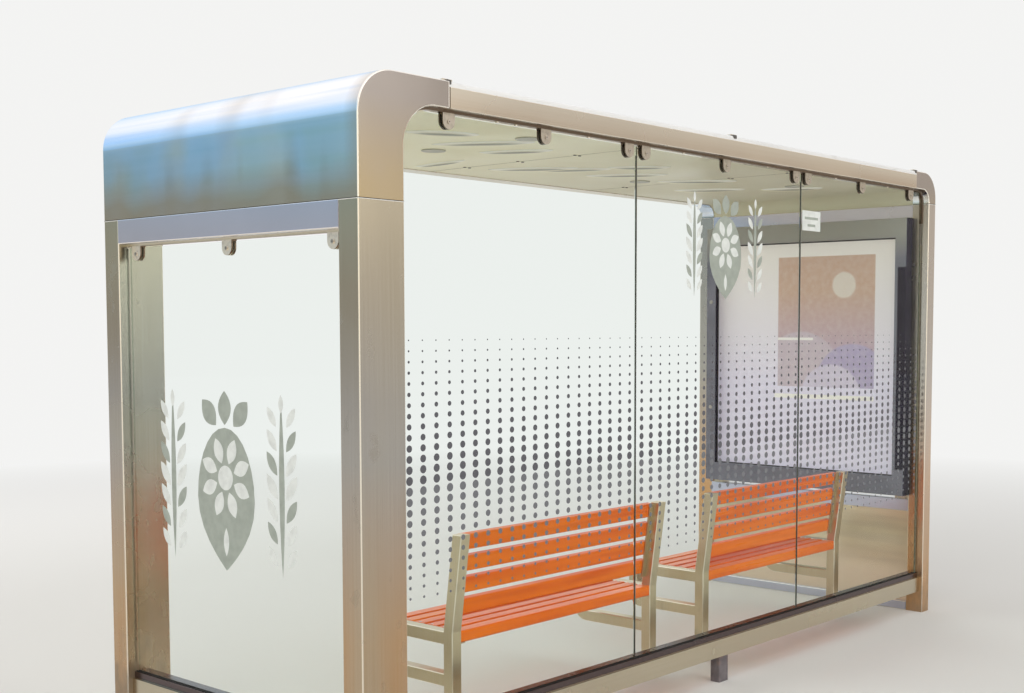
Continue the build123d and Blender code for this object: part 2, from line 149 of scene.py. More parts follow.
lamp_size = 6.0
lamp_aim = Vector((0, 0, 1.0))
for lamp_name, lamp_place, lamp_power in (
    ("end_lamp", (6.5, 1.5, 6.0), 120),
    ("rear_lamp", (-1.0, 8.0, 5.5), 150),
    ("front_lamp", (0.0, -7.0, 5.5), 150),
):
    lamp_data = bpy.data.lights.new(lamp_name, "AREA")
    lamp_data.size = lamp_size
    lamp_data.energy = lamp_power
    lamp = bpy.data.objects.new(lamp_name, lamp_data)
    lamp.location = lamp_place
    lamp.visible_glossy = lamp_name == "rear_lamp"
    lamp.rotation_euler = (lamp_aim - lamp.location).to_track_quat("-Z", "Y").to_euler()
    bpy.context.scene.collection.objects.link(lamp)


# Camera at the place that the photograph was taken from, found from the straight edges of
# posts, rails and beams. The lens is shifted, since the photograph looks past its own middle.
photo_width, photo_height = 1024, 693
focal_pixels = 1333.16
view_centre_x, view_centre_y = 563.27, 414.29
azimuth, elevation = math.radians(130.876), math.radians(3.793)
camera_data = bpy.data.cameras.new("camera")
camera_data.sensor_width = 36.0
camera_data.lens = camera_data.sensor_width * focal_pixels / photo_width
camera_data.shift_x = (photo_width / 2 - view_centre_x) / photo_width
camera_data.shift_y = (view_centre_y - photo_height / 2) / photo_width
camera = bpy.data.objects.new("camera", camera_data)
camera.location = (4.906, 4.081, 1.604)
look = Vector((
    -math.sin(azimuth) * math.cos(elevation),
    math.cos(azimuth) * math.cos(elevation),
    -math.sin(elevation),
))
camera.rotation_euler = look.to_track_quat("-Z", "Y").to_euler()
bpy.context.scene.collection.objects.link(camera)
bpy.context.scene.camera = camera
bpy.context.scene.view_settings.view_transform = "Standard"


# Posts: folded and welded box sections of satin stainless steel, standing in the paving.
# The brush lines run upwards, with soft hand marks, painted highlights on the edges, painted
# reflections in bands by height, and dirt near the foot that is also painted shade.
def shader(name):
    """A new material, its shader nodes and the main one of them."""
    material = bpy.data.materials.new(name)
    material.use_nodes = True
    return material, material.node_tree, material.node_tree.nodes["Principled BSDF"]


def pattern(tree, scales, detail=3.0, turn=(0, 0, 0)):
    """Noise on object coordinates, with a scale for each axis, and turned."""
    place = add_node(tree, "TexCoord").outputs["Object"]
    stretch = {"Vector": place, "Scale": scales, "Rotation": turn}
    stretched = add_node(tree, "Mapping", stretch).outputs[0]
    noise = {"Vector": stretched, "Scale": 1.0, "Detail": detail}
    return add_node(tree, "TexNoise", noise).outputs[0]


def along(tree, axis):
    """The place along one axis of the shelter, in metres."""
    place = add_node(tree, "TexCoord").outputs["Object"]
    return add_node(tree, "SeparateXYZ", {0: place}).outputs[axis]


def facing(tree, axis):
    """How squarely a face looks along one axis, either way."""
    normal = add_node(tree, "NewGeometry").outputs["True Normal"]
    return joined(tree, add_node(tree, "SeparateXYZ", {0: normal}).outputs[axis], 0, "ABSOLUTE")


def bump(tree, value, strength, distance):
    """A normal raised by a value."""
    inputs = {"Height": value, "Strength": strength, "Distance": distance}
    return add_node(tree, "Bump", inputs).outputs[0]


def painted_edge_highlight(tree):
    """One on rounded and bevelled edges, where a bright highlight is painted into the colour."""
    sideways = joined(tree, facing(tree, "X"), facing(tree, "Y"), "MAXIMUM")
    squarest = joined(tree, sideways, facing(tree, "Z"), "MAXIMUM")
    return ramp(tree, squarest, 0.995, 0.96)


def brushed_stainless(name, grain, colour, reflection_bands=(), roughness=0.26, dirt_and_shade_height=0.0):
    """Satin stainless steel with brush lines along one axis, soft marks, painted highlights and
    reflections, and dirt with painted shade.
    """
    material, tree, steel = shader(name)
    fine = pattern(tree, [1.5 if axis == grain else 170.0 for axis in "XYZ"], detail=4.0)
    bands = pattern(tree, [0.35 if axis == grain else 4.0 for axis in "XYZ"], detail=2.0)
    marks = pattern(tree, (2.2, 2.2, 1.8), detail=4.0)
    tone = colour
    # Bands of tone by height: painted reflections of the surroundings.
    for start, end, tone_below in reflection_bands:
        tone = mixed(tree, ramp(tree, along(tree, "Z"), start, end), tone_below, tone)
    darker = tuple(part * 0.85 for part in colour)
    tone = mixed(tree, ramp(tree, bands, 0.42, 0.62, 0.0, 0.45), tone, darker)
    warmer = (colour[0], colour[1] * 0.95, colour[2] * 0.88)
    tone = mixed(tree, ramp(tree, marks, 0.50, 0.72, 0.0, 0.35), tone, warmer)
    tone = mixed(tree, ramp(tree, fine, 0.3, 0.7, 0.0, 0.08), tone, (0.86, 0.85, 0.82))
    # Painted highlight along rounded and bevelled edges.
    tone = mixed(tree, joined(tree, painted_edge_highlight(tree), 0.75), tone, (1.0, 0.93, 0.80))
    shine = ramp(tree, marks, 0.35, 0.75, roughness - 0.03, roughness + 0.05)
    if dirt_and_shade_height:
        # Dirt near the foot, which also stands in for painted shade there.
        splash = pattern(tree, (16.0, 16.0, 9.0), detail=7.0)
        low = ramp(tree, along(tree, "Z"), 0.0, dirt_and_shade_height, 0.55, 0.0)
        dirt_and_shade = ramp(tree, joined(tree, low, splash, "ADD"), 0.62, 0.98, 0.0, 0.55)
        tone = mixed(tree, dirt_and_shade, tone, (0.24, 0.20, 0.155))
        shine = joined(tree, shine, joined(tree, dirt_and_shade, 0.5), "ADD")
        tree.links.new(ramp(tree, dirt_and_shade, 0.0, 1.0, 1.0, 0.4), steel.inputs["Metallic"])
    else:
        steel.inputs["Metallic"].default_value = 1.0
    tree.links.new(tone, steel.inputs["Base Color"])
    tree.links.new(shine, steel.inputs["Roughness"])
    tree.links.new(bump(tree, fine, 0.04, 0.0004), steel.inputs["Normal"])
    return material


def dress(material, *names):
    """Gives CAD nodes their finish."""
    for name in names:
        for material_slot in cad[name].material_slots:
            material_slot.material = material


# The posts' bands by height are painted reflections: cooler in the middle, warm lower down on the
# right posts and orange lower down on the left ones.
cool_middle_reflection, warm_low_reflection = (0.37, 0.350, 0.325), (0.54, 0.345, 0.19)
right_post_steel = brushed_stainless(
    "right_post_steel",
    "Z",
    (0.54, 0.49, 0.37),
    reflection_bands=((1.35, 1.95, cool_middle_reflection), (0.55, 1.15, warm_low_reflection)),
    dirt_and_shade_height=0.45,
)
orange_low_reflection = (0.74, 0.39, 0.135)
left_post_steel = brushed_stainless(
    "left_post_steel",
    "Z",
    (0.55, 0.51, 0.465),
    reflection_bands=((0.50, 1.35, orange_low_reflection),),
    dirt_and_shade_height=0.35,
)
dress(right_post_steel, "right_rear_post", "right_front_post")
dress(left_post_steel, "left_rear_post", "left_front_post")


# Post joints: a black strip fills the shadow gap between the cap and what stands under it as a
# painted shadow, and a pale strip below it is a painted highlight on the rolled top edge of post
# and rail.
def finished(mesh, name, material, smooth=False):
    """Makes a piece of a bmesh, in place, and lets it ride on the shelter."""
    bmesh.ops.recalc_face_normals(mesh, faces=mesh.faces)
    data = bpy.data.meshes.new(name)
    mesh.to_mesh(data)
    mesh.free()
    data.materials.append(material)
    if smooth:
        data.shade_smooth()
    piece = bpy.data.objects.new(name, data)
    bpy.context.scene.collection.objects.link(piece)
    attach(piece, "root")


def block(mesh, corner, opposite, edge=0.0):
    """Adds a box between two corners, with its edges bevelled."""
    corner, opposite = Vector(corner), Vector(opposite)
    size = opposite - corner
    place = Matrix.Translation((corner + opposite) / 2) @ Matrix.Diagonal((*size, 1))
    verts = bmesh.ops.create_cube(mesh, size=1.0, matrix=place)["verts"]
    if edge:
        bmesh.ops.bevel(
            mesh,
            geom=list({made for vert in verts for made in vert.link_edges}),
            offset=edge,
            segments=2,
            profile=0.5,
            affect="EDGES",
            material=-1,
        )


def rubber(name, colour, roughness=0.6):
    """Black or grey rubber, slightly chalky."""
    material, tree, soft = shader(name)
    chalk = pattern(tree, (40.0, 40.0, 40.0), detail=4.0)
    paler = tuple(part * 1.6 + 0.01 for part in colour)
    tone = mixed(tree, ramp(tree, chalk, 0.45, 0.75), colour, paler)
    tree.links.new(tone, soft.inputs["Base Color"])
    dull = ramp(tree, chalk, 0.3, 0.7, roughness, roughness + 0.2)
    tree.links.new(dull, soft.inputs["Roughness"])
    tree.links.new(bump(tree, chalk, 0.1, 0.0005), soft.inputs["Normal"])
    return material


black_rubber = rubber("black_rubber", (0.018, 0.016, 0.015))
# The pale strips under the caps are painted highlights.
painted_joint_highlight, tree, highlight_node = shader("painted_joint_highlight")
highlight_mottle = pattern(tree, (30.0, 30.0, 30.0), detail=4.0)
tone = mixed(tree, ramp(tree, highlight_mottle, 0.4, 0.7), (0.95, 0.93, 0.88), (0.80, 0.77, 0.71))
tree.links.new(tone, highlight_node.inputs["Base Color"])
tree.links.new(ramp(tree, highlight_mottle, 0.3, 0.7, 0.35, 0.50), highlight_node.inputs["Roughness"])
highlight_node.inputs["Metallic"].default_value = 0.1

shadow_gap = 0.0001
shadow_depth = 0.004
shadow_inset, shadow_below = 0.0006, 0.0025
highlight_inset, highlight_below = 0.0003, 0.0050
# The black strips are painted shadow in the gap under the caps; the pale ones are painted
# highlights.
shadow_strips = bmesh.new()
edges = bmesh.new()
for end in ("right", "left"):
    rear_low, rear_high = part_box(f"{end}_rear_post")
    front_low, front_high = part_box(f"{end}_front_post")
    for strips, inset, bottom, top in (
        (shadow_strips, shadow_inset, rear_high.z - shadow_below, rear_high.z - shadow_gap),
        (edges, highlight_inset, rear_high.z - highlight_below, rear_high.z - shadow_below),
    ):
        for start_y, end_y in ((front_low.y, front_high.y), (rear_low.y, rear_high.y)):
            block(
                strips,
                (rear_low.x + inset, start_y + inset, bottom),
                (rear_high.x - inset, end_y - inset, top),
            )
        if end == "right":
            start_x, end_x = rear_high.x - inset - shadow_depth, rear_high.x - inset
        else:
            start_x, end_x = rear_low.x + inset, rear_low.x + inset + shadow_depth
        block(strips, (start_x, front_high.y - inset, bottom), (end_x, rear_low.y + inset, top))
finished(shadow_strips, "cap_joint_shadow", black_rubber)
finished(edges, "cap_joint_highlight", painted_joint_highlight)


# End caps: box elbows joined by a bent stainless skin, welded on top of the posts. The skin is
# brushed across the shelter and cooler in tone than the elbows. Its colours are mostly painted
# reflections: teal and blue patches, brown smudges and a brown band along its lower edge, a
# near-white band at the bend and pale blue stripes above it. Its rounded edges and its seams
# with the beams carry painted highlights.
def between(tree, value, start, end, soft=0.002):
    """One between two places and nothing outside them."""
    past_start = ramp(tree, value, start - soft, start + soft)
    before_end = ramp(tree, value, end + soft, end - soft)
    return joined(tree, past_start, before_end)


cap_low, cap_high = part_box("right_end_cap")
beam_low, beam_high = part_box("rear_roof_beam")
bend_start = cap_low.z + 0.272
cap_steel, tree, steel = shader("cap_steel")
height = along(tree, "Z")
across = along(tree, "Y")
fine = pattern(tree, (380.0, 3.0, 380.0), detail=2.0)
reflection_patches = pattern(tree, (3.0, 4.2, 1.3), detail=1.0, turn=(0.25, 0, 0))
reflection_stripes = pattern(tree, (16.0, 0.35, 16.0), detail=2.0)
sky_blotches = pattern(tree, (2.5, 2.5, 2.5), detail=2.0)
reflection_runs = pattern(tree, (1.0, 5.5, 0.9), detail=1.0)

# Painted reflection: teal and pale patches on the skin.
skin = mixed(tree, ramp(tree, reflection_patches, 0.40, 0.62), (0.53, 0.67, 0.70), (0.73, 0.80, 0.78))
skin = mixed(tree, ramp(tree, across, -0.1, -0.7, 0.0, 0.5), skin, (0.47, 0.50, 0.52))
# Painted reflection of the sky in blue blotches.
skin = mixed(tree, ramp(tree, sky_blotches, 0.50, 0.64, 0.0, 0.7), skin, (0.50, 0.70, 0.95))
# Painted reflection: brown smudges low on the skin.
low_part = ramp(tree, height, cap_low.z + 0.25, cap_low.z + 0.10)
low_reflection_smudge = joined(tree, ramp(tree, reflection_runs, 0.53, 0.72, 0.0, 0.7), low_part)
skin = mixed(tree, low_reflection_smudge, skin, (0.42, 0.41, 0.36))
# Painted highlight: a near-white band at the bend.
bend_highlight = ramp(tree, height, bend_start - 0.012, bend_start + 0.012)
skin = mixed(tree, bend_highlight, skin, (0.93, 0.93, 0.95))
# Painted reflection: pale blue stripes above the bend.
upper_part = ramp(tree, height, bend_start - 0.03, bend_start + 0.03, 0.25, 0.85)
below_top = ramp(tree, height, cap_high.z - 0.006, cap_high.z - 0.07, 0.15, 1.0)
striped_reflection = joined(tree, ramp(tree, reflection_stripes, 0.44, 0.58), joined(tree, upper_part, below_top))
skin = mixed(tree, striped_reflection, skin, (0.64, 0.76, 0.96))
# Painted reflection: a brown band along the lower edge of the skin.
near_lower_edge = ramp(tree, height, cap_low.z, cap_low.z + 0.15, 0.60, 0.0)
low_edge_reflection = ramp(tree, joined(tree, near_lower_edge, reflection_patches, "ADD"), 0.50, 1.00, 0.0, 0.8)
skin = mixed(tree, low_edge_reflection, skin, (0.52, 0.41, 0.29))
rim = ramp(tree, across, cap_high.y - 0.07, cap_high.y - 0.01, 0.0, 0.55)
skin = mixed(tree, rim, skin, (0.56, 0.47, 0.36))

rising = ramp(tree, height, cap_low.z, cap_high.z - 0.08)
elbow = mixed(tree, rising, (0.55, 0.445, 0.26), (0.40, 0.365, 0.335))
elbow = mixed(tree, ramp(tree, sky_blotches, 0.45, 0.65, 0.0, 0.35), elbow, (0.50, 0.45, 0.41))
tone = mixed(tree, ramp(tree, facing(tree, "Y"), 0.75, 0.95), skin, elbow)
# Painted highlight on the rounded edges of the cap.
edge_highlight = joined(tree, painted_edge_highlight(tree), ramp(tree, facing(tree, "Y"), 0.10, 0.30))
tone = mixed(tree, edge_highlight, tone, (1.0, 0.94, 0.84))
tone = mixed(tree, ramp(tree, fine, 0.3, 0.7, 0.0, 0.06), tone, (0.88, 0.87, 0.85))
# Painted highlight along the seams between caps and beams.
for seam_x in (beam_high.x, beam_low.x):
    seam_highlight = between(tree, along(tree, "X"), seam_x - 0.0005, seam_x + 0.0035, 0.0003)
    tone = mixed(tree, seam_highlight, tone, (0.98, 0.95, 0.90))
tree.links.new(tone, steel.inputs["Base Color"])
tree.links.new(ramp(tree, reflection_patches, 0.3, 0.7, 0.18, 0.24), steel.inputs["Roughness"])
tree.links.new(bump(tree, fine, 0.03, 0.0004), steel.inputs["Normal"])
steel.inputs["Metallic"].default_value = 1.0
dress(cap_steel, "right_end_cap", "left_end_cap")


# Roof beams and deck: brushed box beams under a folded aluminium deck whose bright edge
# shows all along, with raised cover strips over the three sheet joints.
# The warmer, darker tone low on the beams is a painted reflection.
beam_steel = brushed_stainless(
    "beam_steel",
    "X",
    (0.68, 0.63, 0.53),
    reflection_bands=((beam_low.z + 0.012, beam_high.z - 0.012, (0.56, 0.475, 0.37)),),
    roughness=0.27,
)
tree = beam_steel.node_tree
beam_colour = tree.nodes["Principled BSDF"].inputs["Base Color"]
tone = beam_colour.links[0].from_socket
# A painted shadow beside each seam with an end cap.
for seam_x in (beam_high.x, beam_low.x):
    shadow = between(tree, along(tree, "X"), seam_x - 0.0055, seam_x - 0.0008, 0.0004)
    tone = mixed(tree, shadow, tone, (0.10, 0.075, 0.05))
tree.links.new(tone, beam_colour)
dress(beam_steel, "rear_roof_beam", "front_roof_beam", "roof_seams")

deck_sheet, tree, sheet = shader("deck_sheet")
weather = pattern(tree, (1.5, 3.0, 3.0), detail=6.0)
grime = pattern(tree, (10.0, 60.0, 60.0), detail=5.0)
tone = mixed(tree, ramp(tree, weather, 0.4, 0.7), (0.96, 0.96, 0.95), (0.88, 0.88, 0.87))
tone = mixed(tree, ramp(tree, grime, 0.60, 0.80, 0.0, 0.35), tone, (0.50, 0.48, 0.44))
tree.links.new(tone, sheet.inputs["Base Color"])
sheet.inputs["Metallic"].default_value = 0.15
tree.links.new(ramp(tree, weather, 0.3, 0.7, 0.35, 0.50), sheet.inputs["Roughness"])
dress(deck_sheet, "roof_deck")


# Roof strip tabs: the tail of each cover strip is a small dark tab of rubber, folded over the
# edge of the deck at the rear and at the front.
tab_rubber = rubber("strip_tab_grey", (0.10, 0.09, 0.08), roughness=0.4)
deck_low, deck_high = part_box("roof_deck")
tab_half, tab_reach, tab_overhang = 0.012, 0.010, 0.003
tab_drop, tab_rise, tab_edge = 0.012, 0.004, 0.0025
tabs = bmesh.new()
for seam_x in (beam_high.x, (beam_high.x + beam_low.x) / 2, beam_low.x):
    for start_y, end_y in (
        (deck_high.y - tab_reach, deck_high.y + tab_overhang),
        (deck_low.y - tab_overhang, deck_low.y + tab_reach),
    ):
        block(
            tabs,
            (seam_x - tab_half, start_y, deck_high.z - tab_drop),
            (seam_x + tab_half, end_y, deck_high.z + tab_rise),
            tab_edge,
        )
finished(tabs, "roof_strip_tabs", tab_rubber)


# Ceiling: cream painted sheet screwed up between the beams, stained, and darker towards the
# left, with the bent linings of the two ends painted alike.
def painted(name, colour, stain, roughness=0.45, metallic=0.0):
    """Satin paint with slight orange peel, stains and a little dust."""
    material, tree, paint = shader(name)
    cloud = pattern(tree, (1.6, 1.6, 1.6), detail=6.0)
    speck = pattern(tree, (60.0, 60.0, 60.0), detail=3.0)
    tone = mixed(tree, ramp(tree, cloud, 0.45, 0.75, 0.0, 0.7), colour, stain)
    tone = mixed(tree, ramp(tree, speck, 0.62, 0.75, 0.0, 0.35), tone, stain)
    tree.links.new(tone, paint.inputs["Base Color"])
    paint.inputs["Metallic"].default_value = metallic
    dull = ramp(tree, cloud, 0.3, 0.7, roughness - 0.08, roughness + 0.12)
    tree.links.new(dull, paint.inputs["Roughness"])
    tree.links.new(bump(tree, speck, 0.05, 0.001), paint.inputs["Normal"])
    return material


cream, cream_stain = (0.96, 0.92, 0.64), (0.84, 0.80, 0.54)
ceiling_paint = painted("ceiling_paint", cream, cream_stain, roughness=0.38)
tree = ceiling_paint.node_tree
paint_colour = tree.nodes["Principled BSDF"].inputs["Base Color"]
# Darker towards the left.
tone_shift = ramp(tree, along(tree, "X"), 0.9, -0.6, 0.0, 0.5)
tone = mixed(tree, tone_shift, paint_colour.links[0].from_socket, (0.60, 0.565, 0.45))
tree.links.new(tone, paint_colour)
dress(ceiling_paint, "ceiling", "right_cap_lining", "left_cap_lining")


# Ceiling lights, screws and joints: flush grey covers, pairs of screws in rows beside the
# joints of the sheets, and a dark filler in each joint.
def disc(mesh, centre, radius, thickness, axis="Z", segments=16):
    """Adds a short cylinder whose axis is one of the shelter's."""
    turns = {
        "X": Matrix.Rotation(math.pi / 2, 4, "Y"),
        "Y": Matrix.Rotation(math.pi / 2, 4, "X"),
        "Z": Matrix(),
    }
    bmesh.ops.create_cone(
        mesh,
        cap_ends=True,
        segments=segments,
        radius1=radius,
        radius2=radius,
        depth=thickness,
        matrix=Matrix.Translation(centre) @ turns[axis],
    )


ceiling_low, ceiling_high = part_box("ceiling")
cover_radius, cover_thickness = 0.052, 0.004
cover_grey = painted("cover_grey", (0.50, 0.49, 0.42), (0.38, 0.37, 0.32))
covers = bmesh.new()
for cover_x, cover_y in ((0.928, -0.095), (-0.62, -0.18), (0.928, 0.45), (-1.35, 0.30)):
    cover_centre = (cover_x, cover_y, ceiling_low.z - cover_thickness / 2)
    disc(covers, cover_centre, cover_radius, cover_thickness, segments=32)
finished(covers, "ceiling_lights", cover_grey)

first_joint_x, sheet_width = 0.40, 1.20
joint_places = (first_joint_x, first_joint_x - sheet_width)
screw_radius, screw_thickness, screw_offset = 0.007, 0.003, 0.016
first_row_y, row_pitch, screw_rows = -0.42, 0.34, 4
screws = bmesh.new()
for joint_x in joint_places:
    for row in range(screw_rows):
        screw_y = first_row_y + row_pitch * row
        for screw_x in (joint_x - screw_offset, joint_x + screw_offset):
            screw_centre = (screw_x, screw_y, ceiling_low.z - screw_thickness / 2)
            disc(screws, screw_centre, screw_radius, screw_thickness, segments=12)
screw_steel = painted("screw_steel", (0.20, 0.18, 0.15), (0.10, 0.09, 0.08), metallic=0.8)
finished(screws, "ceiling_screws", screw_steel)

filler_half, filler_end_gap = 0.0015, 0.002
filler_below, filler_above = 0.0006, 0.0004
fillers = bmesh.new()
for joint_x in joint_places:
    block(
        fillers,
        (joint_x - filler_half, ceiling_low.y + filler_end_gap, ceiling_low.z - filler_below),
        (joint_x + filler_half, ceiling_high.y - filler_end_gap, ceiling_low.z + filler_above),
    )
ceiling_gap = rubber("ceiling_gap", (0.30, 0.29, 0.22))
finished(fillers, "ceiling_joints", ceiling_gap)


# Ceiling dishes: shallow ovals about a centimetre deep, pressed into the painted sheet, with a
# painted shade at their lowest and a painted highlight nearer the sheet, both on the rear side.
dish_depth = 0.013
dish_paint, tree, paint = shader("dish_paint")
slope = add_node(tree, "SeparateXYZ", {0: add_node(tree, "NewGeometry").outputs["Normal"]}).outputs
rearward = joined(tree, slope["Y"], joined(tree, slope["X"], 0.6), "ADD")
rearward = ramp(tree, rearward, 0.02, 0.12)
dish_height = along(tree, "Z")
lower_mark, upper_mark = ceiling_low.z - 0.75 * dish_depth, ceiling_low.z - 0.45 * dish_depth
upper = ramp(tree, dish_height, lower_mark, upper_mark)
# A painted highlight nearer the sheet and a painted shade at the lowest, on the rear side.
shine = joined(tree, rearward, upper)
shade = joined(tree, rearward, joined(tree, 1.0, upper, "SUBTRACT"))
dust = pattern(tree, (20.0, 20.0, 20.0), detail=4.0)
tone = mixed(tree, ramp(tree, dust, 0.45, 0.75, 0.0, 0.4), cream, cream_stain)
tone = mixed(tree, joined(tree, shade, 0.9), tone, (0.24, 0.24, 0.20))
tone = mixed(tree, joined(tree, shine, 0.85), tone, (1.0, 1.0, 0.96))
tree.links.new(tone, paint.inputs["Base Color"])
paint.inputs["Roughness"].default_value = 0.35

dishes = bmesh.new()
for dish_x, dish_y, length, width, turn in (
    (1.26, 0.30, 0.30, 0.13, 2.6),
    (0.95, 0.22, 0.44, 0.13, 2.1),
    (0.68, 0.15, 0.34, 0.10, 2.0),
    (0.60, -0.40, 0.36, 0.05, 1.5),
    (0.16, -0.22, 0.44, 0.12, 2.1),
    (0.02, -0.10, 0.40, 0.11, 2.1),
    (-0.12, 0.20, 0.30, 0.10, 2.2),
    (-0.34, -0.05, 0.42, 0.12, 2.1),
    (-0.80, 0.05, 0.42, 0.12, 2.2),
    (-1.20, -0.15, 0.40, 0.12, 2.1),
    (-1.45, 0.22, 0.34, 0.12, 2.0),
):
    place = Matrix.Translation((dish_x, dish_y, ceiling_low.z)) @ Matrix.Rotation(turn, 4, "Z")
    place = place @ Matrix.Diagonal((length / 2, width / 2, dish_depth, 1))
    bmesh.ops.create_uvsphere(dishes, u_segments=32, v_segments=16, radius=1.0, matrix=place)
sunk_into_sheet = 0.001
bmesh.ops.bisect_plane(
    dishes,
    geom=dishes.verts[:] + dishes.edges[:] + dishes.faces[:],
    plane_co=(0, 0, ceiling_low.z + sunk_into_sheet),
    plane_no=(0, 0, 1),
    clear_outer=True,
)
bmesh.ops.holes_fill(dishes, edges=dishes.edges[:])
finished(dishes, "ceiling_dishes", dish_paint, smooth=True)


# Rails: brushed box sections between the posts. The bottom ones carry a dark glazing bead with
# rubber gaskets on both sides of the glass, and a galvanised foot rusts at its weld.
rail_low, rail_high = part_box("rear_bottom_rail")
end_rail_low, end_rail_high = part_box("right_bottom_rail")
bead_bottom = rail_high.z - 0.0255


def rail_steel(name, grain):
    """Brushed steel of a bottom rail, with its glazing bead in dark satin paint."""
    material = brushed_stainless(name, grain, (0.60, 0.53, 0.40), roughness=0.26)
    tree = material.node_tree
    rail_colour = tree.nodes["Principled BSDF"].inputs["Base Color"]
    bead = ramp(tree, along(tree, "Z"), bead_bottom, bead_bottom + 0.0008)
    tone = mixed(tree, bead, rail_colour.links[0].from_socket, (0.13, 0.10, 0.10))
    tree.links.new(tone, rail_colour)
    return material


dress(rail_steel("rail_steel_x", "X"), "rear_bottom_rail")
dress(rail_steel("rail_steel_y", "Y"), "right_bottom_rail")
# The blue and lilac tints of these rails are painted reflections of the sky.
sky_reflection_steel = brushed_stainless("sky_reflection_steel", "Y", (0.62, 0.63, 0.76), roughness=0.30)
dress(sky_reflection_steel, "left_bottom_rail", "left_middle_rail")
top_rail_steel = brushed_stainless("top_rail_steel", "Y", (0.73, 0.72, 0.86), roughness=0.24)
dress(top_rail_steel, "right_top_rail", "left_top_rail")

glass_low, glass_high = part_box("rear_glass_right")
end_low, end_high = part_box("right_glass")
gasket_width, gasket_end_gap = 0.003, 0.001
gasket_sink, gasket_rise = 0.010, 0.003
gaskets = bmesh.new()
for start_y in (glass_low.y - gasket_width, glass_high.y):
    block(
        gaskets,
        (rail_low.x + gasket_end_gap, start_y, rail_high.z - gasket_sink),
        (rail_high.x - gasket_end_gap, start_y + gasket_width, rail_high.z + gasket_rise),
    )
for start_x in (end_low.x - gasket_width, end_high.x):
    end_y = end_rail_high.y - gasket_end_gap
    block(
        gaskets,
        (start_x, end_rail_low.y + gasket_end_gap, end_rail_high.z - gasket_sink),
        (start_x + gasket_width, end_y, end_rail_high.z + gasket_rise),
    )
finished(gaskets, "rail_gaskets", black_rubber)

foot_steel, tree, foot = shader("foot_steel")
patch = pattern(tree, (30.0, 30.0, 24.0), detail=6.0)
foot_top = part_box("rear_middle_foot")[1].z
weld = ramp(tree, along(tree, "Z"), foot_top - 0.06, foot_top, 0.0, 0.45)
rust = ramp(tree, joined(tree, patch, weld, "ADD"), 0.72, 1.05, 0.0, 0.7)
tone = mixed(tree, ramp(tree, patch, 0.35, 0.7), (0.165, 0.145, 0.155), (0.29, 0.26, 0.27))
tree.links.new(mixed(tree, rust, tone, (0.30, 0.14, 0.07)), foot.inputs["Base Color"])
tree.links.new(ramp(tree, rust, 0.0, 1.0, 0.6, 0.0), foot.inputs["Metallic"])
tree.links.new(ramp(tree, patch, 0.3, 0.7, 0.50, 0.80), foot.inputs["Roughness"])
tree.links.new(bump(tree, patch, 0.3, 0.002), foot.inputs["Normal"])
dress(foot_steel, "rear_middle_foot")


# Hangers and glass clamps: dark strips under the beams and half-round cheeks that grip each
# pane, pale on their faces and dark on their edges, drawn up by one socket-head bolt each. These
# tones by which way a face looks are painted light and shade.
def clamp_finish(name, axis, painted_face_tone, painted_side_tone):
    """Cast stainless with one tone on the faces along an axis and another on the rest: painted
    light and shade.
    """
    material, tree, steel = shader(name)
    grime = pattern(tree, (60.0, 60.0, 60.0), detail=5.0)
    face = ramp(tree, facing(tree, axis), 0.75, 0.95)
    worn = tuple(part * 0.75 for part in painted_face_tone)
    tone = mixed(tree, ramp(tree, grime, 0.48, 0.72), painted_face_tone, worn)
    # Painted light and shade: faces along the axis take one tone, the others another.
    tree.links.new(mixed(tree, face, painted_side_tone, tone), steel.inputs["Base Color"])
    tree.links.new(ramp(tree, grime, 0.3, 0.7, 0.30, 0.45), steel.inputs["Roughness"])
    tree.links.new(bump(tree, grime, 0.08, 0.0006), steel.inputs["Normal"])
    steel.inputs["Metallic"].default_value = 0.9
    return material


for finish_name, node_name, axis, painted_face_tone, painted_side_tone in (
    ("rear_clamp_steel", "rear_clamps", "Y", (0.52, 0.47, 0.39), (0.11, 0.08, 0.06)),
    ("end_clamp_steel", "right_clamps", "X", (0.92, 0.82, 0.68), (0.26, 0.18, 0.12)),
    ("rear_hanger_steel", "rear_hanger", "Z", (0.34, 0.28, 0.21), (0.19, 0.14, 0.10)),
    ("end_hanger_steel", "right_hanger", "Z", (0.30, 0.17, 0.10), (0.72, 0.66, 0.50)),
):
    dress(clamp_finish(finish_name, axis, painted_face_tone, painted_side_tone), node_name)

bolt_steel = brushed_stainless("bolt_steel", "Z", (0.55, 0.50, 0.44), roughness=0.30)
bolt_radius, bolt_height = 0.0075, 0.004
socket_radius, socket_thickness = 0.0024, 0.0006
bolts = bmesh.new()
sockets = bmesh.new()


def bolt(centre, axis):
    """Adds a round socket head that stands out from a face, and its dark hexagon."""
    out = Vector({"X": (1, 0, 0), "Y": (0, 1, 0), "Z": (0, 0, 1)}[axis[-1]])
    if axis[0] == "-":
        out.negate()
    disc(bolts, Vector(centre) + out * bolt_height / 2, bolt_radius, bolt_height, axis[-1], 20)
    disc(sockets, Vector(centre) + out * bolt_height, socket_radius, socket_thickness, axis[-1], 6)


